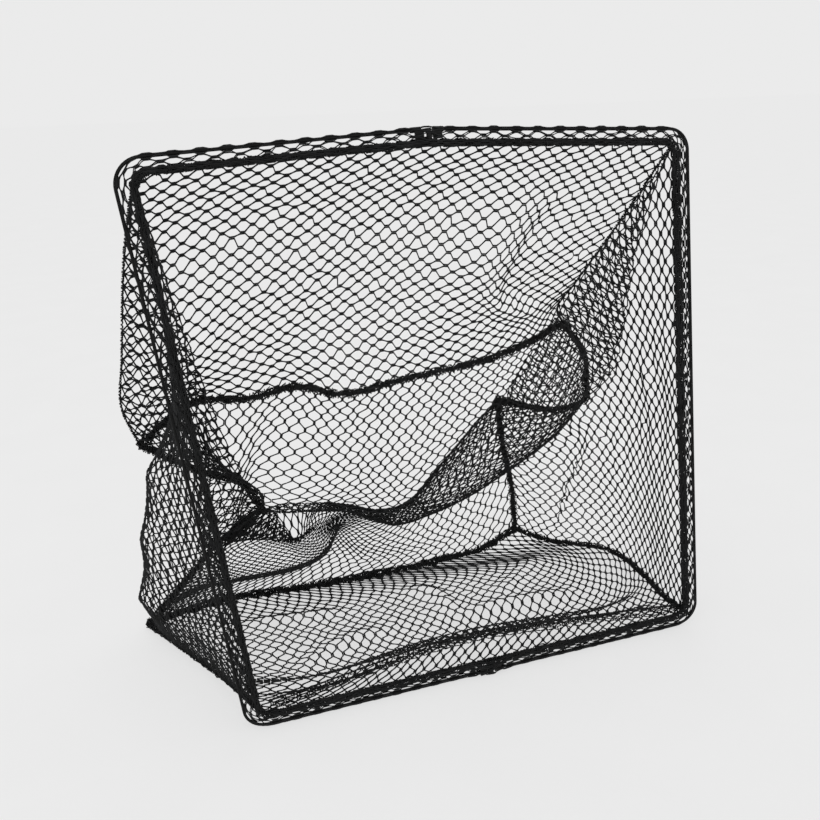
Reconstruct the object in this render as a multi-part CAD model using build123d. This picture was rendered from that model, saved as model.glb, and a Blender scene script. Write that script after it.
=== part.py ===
from build123d import *
import os

# Folding crab trap: a net bag behind an upright wire mouth frame that folds shut like a book.
# Axes: +X to the right of the mouth, +Y into the bag, +Z up. Lengths are in millimetres.
# Origin: on the ground, on the floor net, halfway from the mouth to the back of the bag and
# straight behind the middle of the bottom bar. Every shape is first drawn with the plane of
# the mouth at Y 0, and moves forward by half the bag's depth when it is named.

os.makedirs("parts", exist_ok=True)

# ---- Driving dimensions of the mouth frame ----
MOUTH_WIDTH = 560.0  # between the centre lines of the two side bars
MOUTH_HEIGHT = 588.0  # between the centre lines of the bottom and top bars at the corners
MOUTH_LEAN = 61.0  # the slack frame stands with its top this far to the left of its foot
TOP_BAR_RISE = 12.0  # the two halves of the top bar climb this much to their hinge
CORNER_RADIUS = 24.0
WIRE_RADIUS = 1.6
BOTTOM_BAR_HEIGHT = 3.0  # centre line of the bottom bar above the ground

# ---- Driving dimensions of the bag ----
BAG_DEPTH = 260.0  # from the mouth to the back of the bag along the ground
BACK_FLOOR_LEFT = -368.0
BACK_FLOOR_RIGHT = 173.0
BACK_TOP_LEFT = -347.0
BACK_TOP_RIGHT = 216.0
BACK_TOP_LEFT_HEIGHT = 248.0
BACK_TOP_RIGHT_HEIGHT = 335.0
FOLD_DRIFT = 0.25  # the middle of the bag drifts this far left for each step back

# ---- Net, hem and seams ----
NET_THICKNESS = 1.0
SEAM_RADIUS = 1.5
SEAM_GAP = 2.2  # from a seam's centre line to the edge of the net beside it
HEM_OUTSIDE = 3.0  # from the frame's centre line to the outer edge of the hem
HEM_INSIDE = 16.0  # from the frame's centre line to the inner edge of the hem
HEM_HALF_THICKNESS = 3.0
HEM_WALL = 0.7
HEM_CORD_WIDTH = 3.0
HEM_CORD_GAP = 0.5
HEM_CORD_HALF_THICKNESS = 1.5
HEM_HINGE_GAP = 20.0  # the hem stops this far from the fold, clear of the hinge
NET_START = 5.0  # how far behind the mouth plane the top and side nets begin
FLOOR_START = 4.0  # how far behind the mouth plane the floor net begins
FOLD_GAP = 2.0  # from the fold plane to the edge of each half of the bag
CORD_FOLD_GAP = 3.0

# ---- Hinges between the two halves of the frame ----
HINGE_FORWARD = 5.0  # the pins stand this far in front of the wires
PIN_RADIUS = 1.2
PIN_CLEARANCE = 0.03
PIN_HEAD_RADIUS = 2.0
PIN_HEAD_THICKNESS = 1.0
PIN_HEAD_GAP = 0.1
KNUCKLE_RADIUS = 2.6
KNUCKLE_HEIGHT = 3.4
KNUCKLE_PITCH = 3.6
HINGE_REACH = 1.0  # how far the hinge stands past the wire's centre line, away from the mouth
LEAF_START = 4.5
LEAF_END = 13.0
LEAF_THICKNESS = 2.4
LEAF_SET_BACK = 0.2  # from the plane of the pin to the leaf's front face
FERRULE_START = 6.0
FERRULE_END = 16.0
FERRULE_RADIUS = 2.6
FERRULE_BORE = 1.63
WIRE_START = 6.5  # bare end of each wire, from the fold

# ---- Places worked out from the dimensions above ----
HALF_WIDTH = MOUTH_WIDTH / 2
TOP_BAR_HEIGHT = BOTTOM_BAR_HEIGHT + MOUTH_HEIGHT
HINGE_HEAD_HEIGHT = TOP_BAR_HEIGHT + TOP_BAR_RISE
FOLD_FOOT = Vector(0, 0, BOTTOM_BAR_HEIGHT)
FOLD_HEAD = Vector(-MOUTH_LEAN, 0, HINGE_HEAD_HEIGHT)
FOLD_AXIS = (FOLD_HEAD - FOLD_FOOT).normalized()
FOLD_ACROSS = Vector(FOLD_AXIS.Z, 0, -FOLD_AXIS.X)
SIDES = {"right": 1, "left": -1}
CUTTER_SIZE = 2000.0


def mouth_corner(side, at_top):
    """Corner of the frame's centre line on one side."""
    height = TOP_BAR_HEIGHT if at_top else BOTTOM_BAR_HEIGHT
    shift = -MOUTH_LEAN if at_top else 0.0
    return Vector(side * HALF_WIDTH + shift, 0, height)


def fold_x(depth, height):
    """Where the fold plane stands at a depth behind the mouth and a height above the ground."""
    up = (height - BOTTOM_BAR_HEIGHT) / (HINGE_HEAD_HEIGHT - BOTTOM_BAR_HEIGHT)
    return -MOUTH_LEAN * up - FOLD_DRIFT * depth


def back_corner(side, at_top):
    """Corner of the back of the bag, where three nets meet."""
    if at_top:
        x = BACK_TOP_RIGHT if side > 0 else BACK_TOP_LEFT
        z = BACK_TOP_RIGHT_HEIGHT if side > 0 else BACK_TOP_LEFT_HEIGHT
        return Vector(x, BAG_DEPTH, z)
    x = BACK_FLOOR_RIGHT if side > 0 else BACK_FLOOR_LEFT
    return Vector(x, BAG_DEPTH, 0)


def back_fold_point(at_top, side, gap):
    """Point of the back of the bag beside the fold plane, at the top seam or on the ground."""
    left = back_corner(-1, at_top)
    right = back_corner(1, at_top)
    middle = Vector(fold_x(BAG_DEPTH, (left.Z + right.Z) / 2 * at_top), BAG_DEPTH, 0)
    share = (middle.X + side * gap - left.X) / (right.X - left.X)
    return left + (right - left) * share


# ---- Shape helpers ----


def rod(start, end, radius, trim=0.0):
    """Straight round bar from start to end, cut short by trim at both ends."""
    along = (end - start).normalized()
    first = start + along * trim
    length = (end - start).length - 2 * trim
    plane = Plane(origin=first, z_dir=along)
    bar = Cylinder(radius, length, align=(Align.CENTER, Align.CENTER, Align.MIN))
    return plane * bar


def inset_corners(corners, gap):
    """Moves every edge of a flat outline inward by gap."""
    moved = []
    count = len(corners)
    for i, corner in enumerate(corners):
        back = (corners[i - 1] - corner).normalized()
        ahead = (corners[(i + 1) % count] - corner).normalized()
        sine = back.cross(ahead).length
        moved.append(corner + (back + ahead) * (gap / sine))
    return moved


def net_sheet(corners):
    """Thin closed sheet over a four-sided outline whose corners need not lie in one plane."""
    normal = (corners[2] - corners[0]).cross(corners[3] - corners[1]).normalized()
    offset = normal * (NET_THICKNESS / 2)
    front = [c - offset for c in corners]
    rear = [c + offset for c in corners]
    triangles = [(0, 1, 2), (0, 2, 3)]
    faces = []
    for layer in (front, rear):
        for a, b, c in triangles:
            faces.append(Face(Wire.make_polygon([layer[a], layer[b], layer[c]], close=True)))
    for i in range(4):
        j = (i + 1) % 4
        faces.append(Face(Wire.make_polygon([front[i], front[j], rear[j], rear[i]], close=True)))
    return Solid(Shell(faces))


def mouth_face(grow):
    """Area inside the frame's centre line, grown outward or shrunk inward, in the mouth plane."""
    corners = [
        FOLD_FOOT,
        mouth_corner(1, False),
        mouth_corner(1, True),
        FOLD_HEAD,
        mouth_corner(-1, True),
        mouth_corner(-1, False),
    ]
    flat = Polygon(*[(c.X, c.Z) for c in corners], align=None)
    bends = flat.vertices().sort_by(lambda v: abs(v.X + MOUTH_LEAN / 2))[2:]
    rounded = fillet(bends, CORNER_RADIUS)
    return offset(rounded, amount=grow, kind=Kind.INTERSECTION)


def mouth_band(outer, inner, half_thickness):
    """Flat ring round the mouth, between two distances from the frame's centre line."""
    ring = mouth_face(outer) - mouth_face(inner)
    return extrude(Plane.XZ * ring, amount=half_thickness, both=True)


def one_half(side, gap):
    """Everything on one side of the fold plane, beyond gap from it."""
    centre = FOLD_FOOT + FOLD_ACROSS * side * (gap + CUTTER_SIZE / 2)
    plane = Plane(origin=centre, x_dir=FOLD_ACROSS, z_dir=FOLD_AXIS)
    return plane * Box(CUTTER_SIZE, CUTTER_SIZE, CUTTER_SIZE)


# ---- Mouth frame ----


def frame_wire(side):
    """Half of the mouth frame: one round wire bent to a C, its ends in the hinge ferrules."""
    foot = mouth_corner(side, False)
    head = mouth_corner(side, True)
    start = FOLD_FOOT + (foot - FOLD_FOOT).normalized() * WIRE_START
    end = FOLD_HEAD + (head - FOLD_HEAD).normalized() * WIRE_START
    path = FilletPolyline(start, foot, head, end, radius=CORNER_RADIUS)
    profile = Plane(origin=path @ 0, z_dir=path % 0) * Circle(WIRE_RADIUS)
    return sweep(profile, path=path)


def hinge_plane(at_top):
    """Frame of one hinge: Z along the pin, X across the fold, Y into the bag, origin on the pin."""
    place = FOLD_HEAD if at_top else FOLD_FOOT
    origin = place - Vector(0, HINGE_FORWARD, 0)
    return Plane(origin=origin, x_dir=FOLD_ACROSS, z_dir=FOLD_AXIS)


def stack_centre(at_top, low, high):
    """Height of the middle of a hinge part; the hinge reaches from the wire into the mouth."""
    inward = -1 if at_top else 1
    return inward * (low + high) / 2


def knuckle(at_top, side, step):
    """One barrel of the hinge with the web that joins it to its leaf."""
    low = step * KNUCKLE_PITCH - HINGE_REACH
    height = stack_centre(at_top, low, low + KNUCKLE_HEIGHT)
    barrel = Pos(0, 0, height) * Cylinder(KNUCKLE_RADIUS, KNUCKLE_HEIGHT)
    web_depth = LEAF_SET_BACK + LEAF_THICKNESS / 2
    web = Pos(side * LEAF_START / 2, web_depth, height)
    return barrel + web * Box(LEAF_START, LEAF_THICKNESS, KNUCKLE_HEIGHT)


def hinge_leaf(at_top, side):
    """Pressed hinge leaf with its barrels and the ferrule that holds the end of the wire."""
    top = 3 * KNUCKLE_PITCH - HINGE_REACH - (KNUCKLE_PITCH - KNUCKLE_HEIGHT)
    middle = stack_centre(at_top, -HINGE_REACH, top)
    plate_x = side * (LEAF_START + LEAF_END) / 2
    plate_y = LEAF_SET_BACK + LEAF_THICKNESS / 2
    plate = Box(LEAF_END - LEAF_START, LEAF_THICKNESS, top + HINGE_REACH)
    leaf = Pos(plate_x, plate_y, middle) * plate
    for step in [1] if side > 0 else [0, 2]:
        leaf += knuckle(at_top, side, step)
    leaf = hinge_plane(at_top) * (leaf - Cylinder(PIN_RADIUS + PIN_CLEARANCE, 4 * KNUCKLE_PITCH + top))
    fold = FOLD_HEAD if at_top else FOLD_FOOT
    along = (mouth_corner(side, at_top) - fold).normalized()
    near = fold + along * FERRULE_START
    far = fold + along * FERRULE_END
    leaf += rod(near, far, FERRULE_RADIUS)
    return leaf - rod(near, far, FERRULE_BORE, trim=-1.0)


def hinge_pin(at_top):
    """Headed pin through the three barrels of one hinge."""
    top = 3 * KNUCKLE_PITCH - HINGE_REACH
    shank = Cylinder(PIN_RADIUS, top + HINGE_REACH)
    pin = Pos(0, 0, stack_centre(at_top, -HINGE_REACH, top)) * shank
    low = top + PIN_HEAD_GAP - (KNUCKLE_PITCH - KNUCKLE_HEIGHT)
    head = Cylinder(PIN_HEAD_RADIUS, PIN_HEAD_THICKNESS)
    pin += Pos(0, 0, stack_centre(at_top, low, low + PIN_HEAD_THICKNESS)) * head
    return hinge_plane(at_top) * pin


# ---- Hem ----


def net_hem(side):
    """Flat net tunnel sewn round half of the frame, open at both ends beside the hinges."""
    skin = mouth_band(HEM_OUTSIDE, -HEM_INSIDE, HEM_HALF_THICKNESS)
    hollow = mouth_band(
        HEM_OUTSIDE - HEM_WALL, HEM_WALL - HEM_INSIDE, HEM_HALF_THICKNESS - HEM_WALL
    )
    return (skin - hollow) & one_half(side, HEM_HINGE_GAP)


def hem_seam(side):
    """Gathered seam that closes the tunnel along its inner edge."""
    outer = -HEM_INSIDE - HEM_CORD_GAP
    band = mouth_band(outer, outer - HEM_CORD_WIDTH, HEM_CORD_HALF_THICKNESS)
    return band & one_half(side, CORD_FOLD_GAP)


# ---- Bag nets ----


def floor_net(side):
    """Floor of the bag, flat on the ground."""
    lift = Vector(0, 0, NET_THICKNESS / 2)
    front_fold = Vector(fold_x(FLOOR_START, 0) + side * FOLD_GAP, FLOOR_START, 0)
    front = mouth_corner(side, False)
    front = Vector(front.X, FLOOR_START, 0)
    rear = back_corner(side, False)
    rear_fold = back_fold_point(False, side, FOLD_GAP)
    outline = [front_fold, front, rear, rear_fold]
    gap = Vector(side * SEAM_GAP, 0, 0)
    outline[1] = front - gap
    outline[2] = rear - gap * 2 - Vector(0, SEAM_GAP, 0)
    outline[3] = rear_fold - Vector(0, SEAM_GAP, 0)
    return net_sheet([p + lift for p in outline])


def hem_edge(side, at_top):
    """Where the side and top nets leave the hem, at a corner of the mouth."""
    corner = mouth_corner(side, at_top)
    down = -HEM_INSIDE if at_top else HEM_INSIDE
    return Vector(corner.X - side * HEM_INSIDE, NET_START, corner.Z + down)


def top_net(side):
    """Top of the bag, which hangs from the top bar down to the back."""
    fold = Vector(0, NET_START, HINGE_HEAD_HEIGHT - HEM_INSIDE)
    fold.X = fold_x(NET_START, fold.Z) + side * FOLD_GAP
    corner = hem_edge(side, True)
    rear = back_corner(side, True)
    rear_fold = back_fold_point(True, side, FOLD_GAP)
    gap = Vector(side * SEAM_GAP, 0, 0)
    lift = Vector(0, -SEAM_GAP, SEAM_GAP)
    return net_sheet([fold, corner - gap, rear - gap + lift, rear_fold + lift])


def side_net(side):
    """Side of the bag, from the hem back to the corner seam."""
    foot = mouth_corner(side, False)
    corners = [
        Vector(foot.X, NET_START, 2 * SEAM_RADIUS),
        hem_edge(side, True),
        back_corner(side, True),
        back_corner(side, False) + Vector(0, 0, 2 * SEAM_RADIUS),
    ]
    return net_sheet(inset_corners(corners, SEAM_GAP))


def back_net(side):
    """Back of the bag between the top seam and the floor seam."""
    base = Vector(0, 0, 2 * SEAM_RADIUS + SEAM_RADIUS)
    corners = [
        back_fold_point(False, side, FOLD_GAP) + base,
        back_corner(side, False) + base,
        back_corner(side, True),
        back_fold_point(True, side, FOLD_GAP),
    ]
    gap = Vector(side * SEAM_GAP, 0, 0)
    up = Vector(0, 0, SEAM_GAP)
    return net_sheet(
        [corners[0] + up, corners[1] - gap + up, corners[2] - gap - up, corners[3] - up]
    )


# ---- Bag seams ----


def floor_side_seam(side):
    """Seam along the foot of one side of the bag."""
    lift = Vector(0, 0, SEAM_RADIUS)
    front = mouth_corner(side, False)
    front = Vector(front.X, FLOOR_START, 0)
    return rod(front + lift, back_corner(side, False) + lift, SEAM_RADIUS, trim=SEAM_GAP)


def top_side_seam(side):
    """Seam from an upper corner of the mouth to an upper corner of the back."""
    return rod(hem_edge(side, True), back_corner(side, True), SEAM_RADIUS, trim=2 * SEAM_GAP)


def back_floor_seam(side):
    """Seam along the foot of the back, just above the floor net."""
    lift = Vector(0, 0, 2 * SEAM_RADIUS + NET_THICKNESS / 2 + SEAM_RADIUS)
    start = back_fold_point(False, side, FOLD_GAP) + lift
    return rod(start, back_corner(side, False) + lift - Vector(side * SEAM_GAP, 0, 0), SEAM_RADIUS)


def back_top_seam(side):
    """Seam along the upper edge of the back."""
    start = back_fold_point(True, side, FOLD_GAP)
    return rod(start, back_corner(side, True), SEAM_RADIUS)


def back_side_seam(side):
    """Seam up one corner of the back."""
    lift = Vector(0, 0, 3 * SEAM_RADIUS)
    low = back_corner(side, False) + lift
    return rod(low, back_corner(side, True), SEAM_RADIUS, trim=2 * SEAM_GAP)


# ---- Every piece under its own name ----

nodes = {
    "top_hinge_pin": hinge_pin(True),
    "bottom_hinge_pin": hinge_pin(False),
}
for name, side in SIDES.items():
    nodes[f"{name}_frame_wire"] = frame_wire(side)
    nodes[f"{name}_top_hinge_leaf"] = hinge_leaf(True, side)
    nodes[f"{name}_bottom_hinge_leaf"] = hinge_leaf(False, side)
    nodes[f"{name}_net_hem"] = net_hem(side)
    nodes[f"{name}_hem_seam"] = hem_seam(side)
    nodes[f"{name}_top_net"] = top_net(side)
    nodes[f"{name}_floor_net"] = floor_net(side)
    nodes[f"{name}_side_net"] = side_net(side)
    nodes[f"{name}_back_net"] = back_net(side)
    nodes[f"{name}_top_side_seam"] = top_side_seam(side)
    nodes[f"{name}_floor_side_seam"] = floor_side_seam(side)
    nodes[f"{name}_back_top_seam"] = back_top_seam(side)
    nodes[f"{name}_back_floor_seam"] = back_floor_seam(side)
    nodes[f"{name}_back_side_seam"] = back_side_seam(side)

for name, shape in nodes.items():
    shape = Pos(0, -BAG_DEPTH / 2, 0) * shape
    shape.label = name
    export_step(shape, f"parts/{name}.step")
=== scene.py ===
import math

import bpy
import numpy as np
from mathutils import Matrix, Vector


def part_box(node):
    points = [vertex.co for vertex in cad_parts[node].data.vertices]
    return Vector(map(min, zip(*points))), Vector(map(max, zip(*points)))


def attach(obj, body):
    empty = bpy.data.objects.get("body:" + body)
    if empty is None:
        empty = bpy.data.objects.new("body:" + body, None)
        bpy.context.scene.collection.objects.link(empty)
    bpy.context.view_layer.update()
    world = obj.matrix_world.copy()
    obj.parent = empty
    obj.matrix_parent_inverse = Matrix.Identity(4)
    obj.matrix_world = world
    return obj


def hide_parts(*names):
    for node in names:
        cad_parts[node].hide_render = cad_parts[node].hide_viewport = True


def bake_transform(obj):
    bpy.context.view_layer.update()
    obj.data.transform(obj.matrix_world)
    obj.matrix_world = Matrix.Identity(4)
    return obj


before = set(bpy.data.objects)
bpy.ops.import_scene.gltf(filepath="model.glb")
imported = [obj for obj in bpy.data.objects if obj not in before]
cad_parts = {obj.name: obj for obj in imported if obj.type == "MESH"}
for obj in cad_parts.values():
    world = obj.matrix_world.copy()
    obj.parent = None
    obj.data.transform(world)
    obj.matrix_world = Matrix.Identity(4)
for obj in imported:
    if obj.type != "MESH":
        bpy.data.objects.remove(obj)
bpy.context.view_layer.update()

# Folding crab trap: a net bag hanging behind an upright wire mouth frame.
# The wires and hinges shown are the CAD nodes. Every soft piece is built here as real knotless
# netting, thread by thread, over sheets that are lofted through the folds of the slack bag.
# Lengths are in millimetres, measured from the middle of the mouth's foot: x to the right,
# y into the bag and z up. bag() turns them into metres in the shared frame.

MM = 0.001
RIGHT_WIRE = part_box("right_frame_wire")
MOUTH_Y = (RIGHT_WIRE[0].y + RIGHT_WIRE[1].y) / 2
WIRE_RADIUS = (RIGHT_WIRE[1].y - RIGHT_WIRE[0].y) / 2 / MM
HALF_WIDTH = RIGHT_WIRE[1].x / MM - WIRE_RADIUS
FOOT = RIGHT_WIRE[0].z / MM + WIRE_RADIUS

# ---- The mouth frame ----
MOUTH_HEIGHT = 588.0
LEAN = 61.0  # the top of the frame stands this far to the left of its foot
TOP_RISE = 12.0  # the top bar climbs this much from its corners to the fold
CORNER_RADIUS = 24.0
FOLD_DRIFT = 0.25  # the fold plane drifts this far left for each step back

# ---- Netting ----
THREAD_RADIUS = 0.92
THREAD_WAIST = 0.72  # how thin a thread is between joins, as a share of its radius
JOIN_SHARE = 0.25  # how much of each half row the two threads of a join lie side by side
JOIN_SPREAD = 0.9  # how far each thread of a join lies from its middle
TUBE_SIDES = 6
JOIN_LIFT = 0.4  # how far the threads of a join stand off the sheet, as a share of their radius
NET_JITTER = 0.055  # how unevenly the joins lie, as a share of a cell
BUNCHED_JITTER = 0.16  # the same where net is bunched up
SHEET_STEP = 0.002  # share of a sheet over which its direction is measured
EDGE_SLACK = 0.6  # a thread may pass the edge of its sheet by this share of a cell
GROUND_CLEARANCE = 0.2  # nothing soft lies lower than this above the ground

# ---- Panels: cells across, and half rows of cells down ----
LENGTH_PITCH = 14.0  # width of a cell across the net that makes the back and the floor
BACK_HALF_ROWS = 76
BACK_BUNCHING = 1.3  # the slack back carries more of its width on the left
BACK_LEFT_JOIN = 0.07  # share of the back over which it is drawn onto its left seam
BACK_RIGHT_JOIN = 0.12
FLOOR_HALF_ROWS = 38
FLOOR_JOIN = 0.2
FLOOR_SHEAR = 0.2  # the floor's threads drift this share of its width on their way back
FLOOR_THREAD_RADIUS = 1.0
FLOOR_LEVEL = 1.2  # the middle of the floor's threads lies at least this high
CREST_HALF_ROWS = 8
CREST_THREAD_RADIUS = 0.8
TOP_CELLS = 20  # down the top panel, whose threads run across it
TOP_HALF_ROWS = 58
SIDE_CELLS = {"right": 22, "left": 20}
SIDE_HALF_ROWS = {"right": 56, "left": 50}
SIDE_JOIN = 0.12  # share of a side panel over which it is drawn onto its edges

# ---- Where the spacing of a panel's rows changes from its left part to its right part ----
EASE_START = 0.34
EASE_WIDTH = 0.46

# ---- Seams: width over the bunched net ----
BACK_TOP_SEAM = 8.5
BACK_FLOOR_SEAM = 10.0
BACK_SIDE_SEAM = 8.0
FLOOR_SIDE_SEAM = 6.5
TOP_SIDE_SEAM = 2.0
HEM_SEAM = 6.0
BACK_FLOOR_LIFT = 2.5  # the seam at the foot of the back lies this far above the floor net
FLOOR_SIDE_LIFT = 3.0
SEAM_STEP = 2.2  # from point to point along a seam
SEAM_SIDES = 5
SEAM_LOOSENESS = 0.4  # how much a seam swells and shrinks along its length
CORD_SHARE = 0.11  # radius of a cord, as a share of the seam's width
CORD_UNEVENNESS = 0.45
WINDING_POINTS = 7  # points in one turn of the stitching thread
WINDING_RADIUS = 0.6
CUT_END_RADII = (0.8, 0.75, 0.5)

# ---- Hem ----
HEM_DEPTH = 12.0  # from the wire to the gathered seam that closes the hem
HEM_PITCH = 11.5  # half a cell along the hem
HEM_CELLS = 5  # cells from the seam round the wire and back to the seam
HEM_THREAD_RADIUS = 0.66
HEM_SEAM_CORNER = 0.7  # corner radius of the seam, as a share of the wire's
GATHER_CELLS = 4
GATHER_CLOSENESS = 1.5  # the bunched net has this many cells along the hem for each open one
GATHER_THREAD_RADIUS = 0.7
PANEL_START = 14.0  # from the wire to the edge where the panels leave the hem
HEM_FOLD_REACH = 28.0  # the hem's netting within this distance of the fold plane is cut out as separate fold pieces
HINGE_COVER = 5.0  # how far the hem stands out in front to cover a hinge
HINGE_COVER_REACH = 18.0  # the cover has all but ended at about twice this distance from the fold

# ---- Materials: how light they are, from 0 to 1 ----
NET_SHADES = (0.004, 0.011)  # the dark and the faded patches of the net
SEAM_SHADES = (0.003, 0.009)
WIRE_SHADE = 0.004
HINGE_SHADE = 0.007

# ---- Studio and camera ----
STUDIO_GREY = 0.83  # the pale grey the floor and the background share
FLOOR_GLOW = 0.76  # share of that grey the floor gives by itself; the rest is reflected light
PAPER_GREYS = (0.225, 0.235)
FLOOR_SIZE = 60.0  # in metres
FLOOR_DROP = 0.0005  # in metres, so that the floor never touches the net
LAMP_POWER = 9
LAMP_SIZE = 1.6
LAMP_PLACE = Vector((-1.2, -1.6, 2.0))
LAMP_TARGET = Vector((0, 0, 0.3))
CAMERA_PLACE = (-355.8, -808.4, 636.0)
CAMERA_YAW = 0.3218  # turned right from straight into the mouth
CAMERA_PITCH = 0.3404  # looking down
CAMERA_ROLL = -0.0348
CAMERA_LENS = 39.5
SENSOR_WIDTH = 36.0


def bag(x, y, z):
    """A point of the bag, given in millimetres from the mouth's foot, in metres of the frame."""
    return np.array([x * MM, y * MM + MOUTH_Y, z * MM])


def fold_x(points):
    """Where the fold plane lies across the bag, for points in the frame."""
    lean = -LEAN * (points[..., 2] / MM - FOOT) / (MOUTH_HEIGHT + TOP_RISE)
    drift = -FOLD_DRIFT * (points[..., 1] - MOUTH_Y) / MM
    return (lean + drift) * MM


# =============================== curves and sheets ===============================


def hermite(knots, values, places):
    """A smooth curve through values at the knots, read at the places. Values may be rows of points."""
    knots = np.asarray(knots, float)
    values = np.asarray(values, float)
    if len(knots) > 2:
        slopes = np.gradient(values, knots, axis=0)
    else:
        slopes = np.repeat((values[1:] - values[:1]) / (knots[1] - knots[0]), 2, axis=0)
    span = np.clip(np.searchsorted(knots, places, side="right") - 1, 0, len(knots) - 2)
    width = knots[span + 1] - knots[span]
    t = (places - knots[span]) / width
    shape = (-1,) + (1,) * (values.ndim - 1)
    t, width = t.reshape(shape), width.reshape(shape)
    return (
        (2 * t**3 - 3 * t**2 + 1) * values[span]
        + (t**3 - 2 * t**2 + t) * width * slopes[span]
        + (3 * t**2 - 2 * t**3) * values[span + 1]
        + (t**3 - t**2) * width * slopes[span + 1]
    )


def lengths(points):
    """Distance along a line of points, starting at 0."""
    steps = np.linalg.norm(np.diff(points, axis=0), axis=1)
    return np.concatenate([[0.0], np.cumsum(steps)])


def evenly(points, count):
    """The same line with count points evenly spaced along it."""
    points = np.asarray(points, float)
    along = lengths(points)
    places = np.linspace(0, along[-1], count)
    return np.stack([np.interp(places, along, points[:, k]) for k in range(3)], axis=1)


def smooth_line(points, count=120):
    """An evenly spaced smooth line through a few points."""
    points = np.asarray(points, float)
    along = lengths(points)
    fine = hermite(along, points, np.linspace(0, along[-1], 40 * len(points)))
    return evenly(fine, count)


def loft(guides, places, rows=180, columns=180, bunching=None):
    """A smooth sheet through guide lines that cross it. Each place says how far down the net its
    guide lies, at the left part and at the right part, with an eased change between them. A guide
    with a bunching above one carries more of the net's width in its left part."""
    across = np.linspace(0, 1, columns)
    rails = []
    for guide, power in zip(guides, bunching or [1] * len(guides)):
        line = smooth_line(guide, 4 * columns)
        rails.append(read_line(line, across**power * (len(line) - 1)))
    rails = np.array(rails)
    ends = np.array([np.broadcast_to(p, 2) for p in places], float)
    down = np.linspace(0, 1, rows)
    sheet = np.empty((rows, columns, 3))
    eased = np.clip((np.linspace(0, 1, columns) - EASE_START) / EASE_WIDTH, 0, 1)
    for c, share in enumerate(eased * eased * (3 - 2 * eased)):
        sheet[:, c] = hermite(ends[:, 0] * (1 - share) + ends[:, 1] * share, rails[:, c], down)
    return sheet


def soften(sheet, times):
    """Rounds the folds of a sheet. Its edges stay where they are."""
    for _ in range(times):
        inner = sheet[1:-1, 1:-1]
        beside = sheet[:-2, 1:-1] + sheet[2:, 1:-1] + sheet[1:-1, :-2] + sheet[1:-1, 2:]
        sheet[1:-1, 1:-1] = 0.5 * inner + 0.125 * beside
    return sheet


def pull_edge(sheet, edge, line, reach=0.25):
    """Moves one edge of a sheet onto a line, and the sheet beside it along, fading out."""
    rows, columns = sheet.shape[:2]
    down, over = np.linspace(0, 1, rows)[:, None], np.linspace(0, 1, columns)[None, :]
    distance = {"left": over, "right": 1 - over, "top": down, "bottom": 1 - down}[edge]
    fade = np.clip(1 - distance / reach, 0, 1) ** 2 * np.ones((rows, columns))
    if edge in ("left", "right"):
        gap = evenly(line, rows) - sheet[:, 0 if edge == "left" else -1]
        return sheet + fade[..., None] * gap[:, None]
    gap = evenly(line, columns) - sheet[0 if edge == "top" else -1]
    return sheet + fade[..., None] * gap[None, :]


def join_edge(sheet, edge, line, reach):
    """Moves an upright edge of a sheet onto a line that has a point for each of its rows."""
    over = np.linspace(0, 1, sheet.shape[1])
    fade = np.clip(1 - (over if edge == "left" else 1 - over) / reach, 0, 1) ** 2
    gap = line - sheet[:, 0 if edge == "left" else -1]
    return sheet + fade[None, :, None] * gap[:, None]


def crease(sheet, path, push, width, taper=0.25):
    """Pushes a sheet out along a narrow line. The crease fades in and out along its path."""
    line = smooth_line(path, 60)
    flat = sheet.reshape(-1, 3)
    gaps = np.linalg.norm(flat[:, None] - line[None], axis=2)
    nearest = gaps.argmin(axis=1)
    along = nearest / (len(line) - 1)
    ends = np.clip(np.minimum(along, 1 - along) / taper, 0, 1)
    strength = np.exp(-((gaps.min(axis=1) / (width * MM)) ** 2)) * (0.15 + 0.85 * ends)
    return sheet + (strength[:, None] * np.asarray(push) * MM).reshape(sheet.shape)


def billow(sheet, path, push, width, reach):
    """Steps a sheet out along one side of a path, then lets it settle back over the reach. The
    side is the one on the left hand going along the path, seen from the mouth."""
    line = smooth_line(path, 80)
    way = unit(np.gradient(line, axis=0))
    flat = sheet.reshape(-1, 3)
    gaps = np.linalg.norm(flat[:, None] - line[None], axis=2)
    nearest = gaps.argmin(axis=1)
    offset = flat - line[nearest]
    side = way[nearest, 0] * offset[:, 2] - way[nearest, 2] * offset[:, 0]
    distance = np.linalg.norm(offset, axis=1) * np.sign(side) / MM
    rise = np.clip(distance / width, 0, 1)
    rise = rise * rise * (3 - 2 * rise) * np.exp(-((np.maximum(distance, 0) / reach) ** 2))
    along = nearest / (len(line) - 1)
    ends = np.clip(np.minimum(along, 1 - along) / 0.25, 0, 1)
    rise = rise * ends * ends * (3 - 2 * ends)
    return sheet + (rise[:, None] * np.asarray(push) * MM).reshape(sheet.shape)


def gather(sheet, path, strength, reach):
    """Draws a sheet in toward a path from the left-hand side going along it, seen from the mouth."""
    line = smooth_line(path, 80)
    way = unit(np.gradient(line, axis=0))
    flat = sheet.reshape(-1, 3)
    nearest = np.linalg.norm(flat[:, None] - line[None], axis=2).argmin(axis=1)
    offset = flat - line[nearest]
    side = way[nearest, 0] * offset[:, 2] - way[nearest, 2] * offset[:, 0]
    fade = np.exp(-((np.linalg.norm(offset, axis=1) / (reach * MM)) ** 2)) * (side > 0)
    along = nearest / (len(line) - 1)
    fade = fade * np.clip(np.minimum(along, 1 - along) / 0.15, 0, 1)
    return sheet - (offset * (strength * fade)[:, None]).reshape(sheet.shape)


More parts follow.
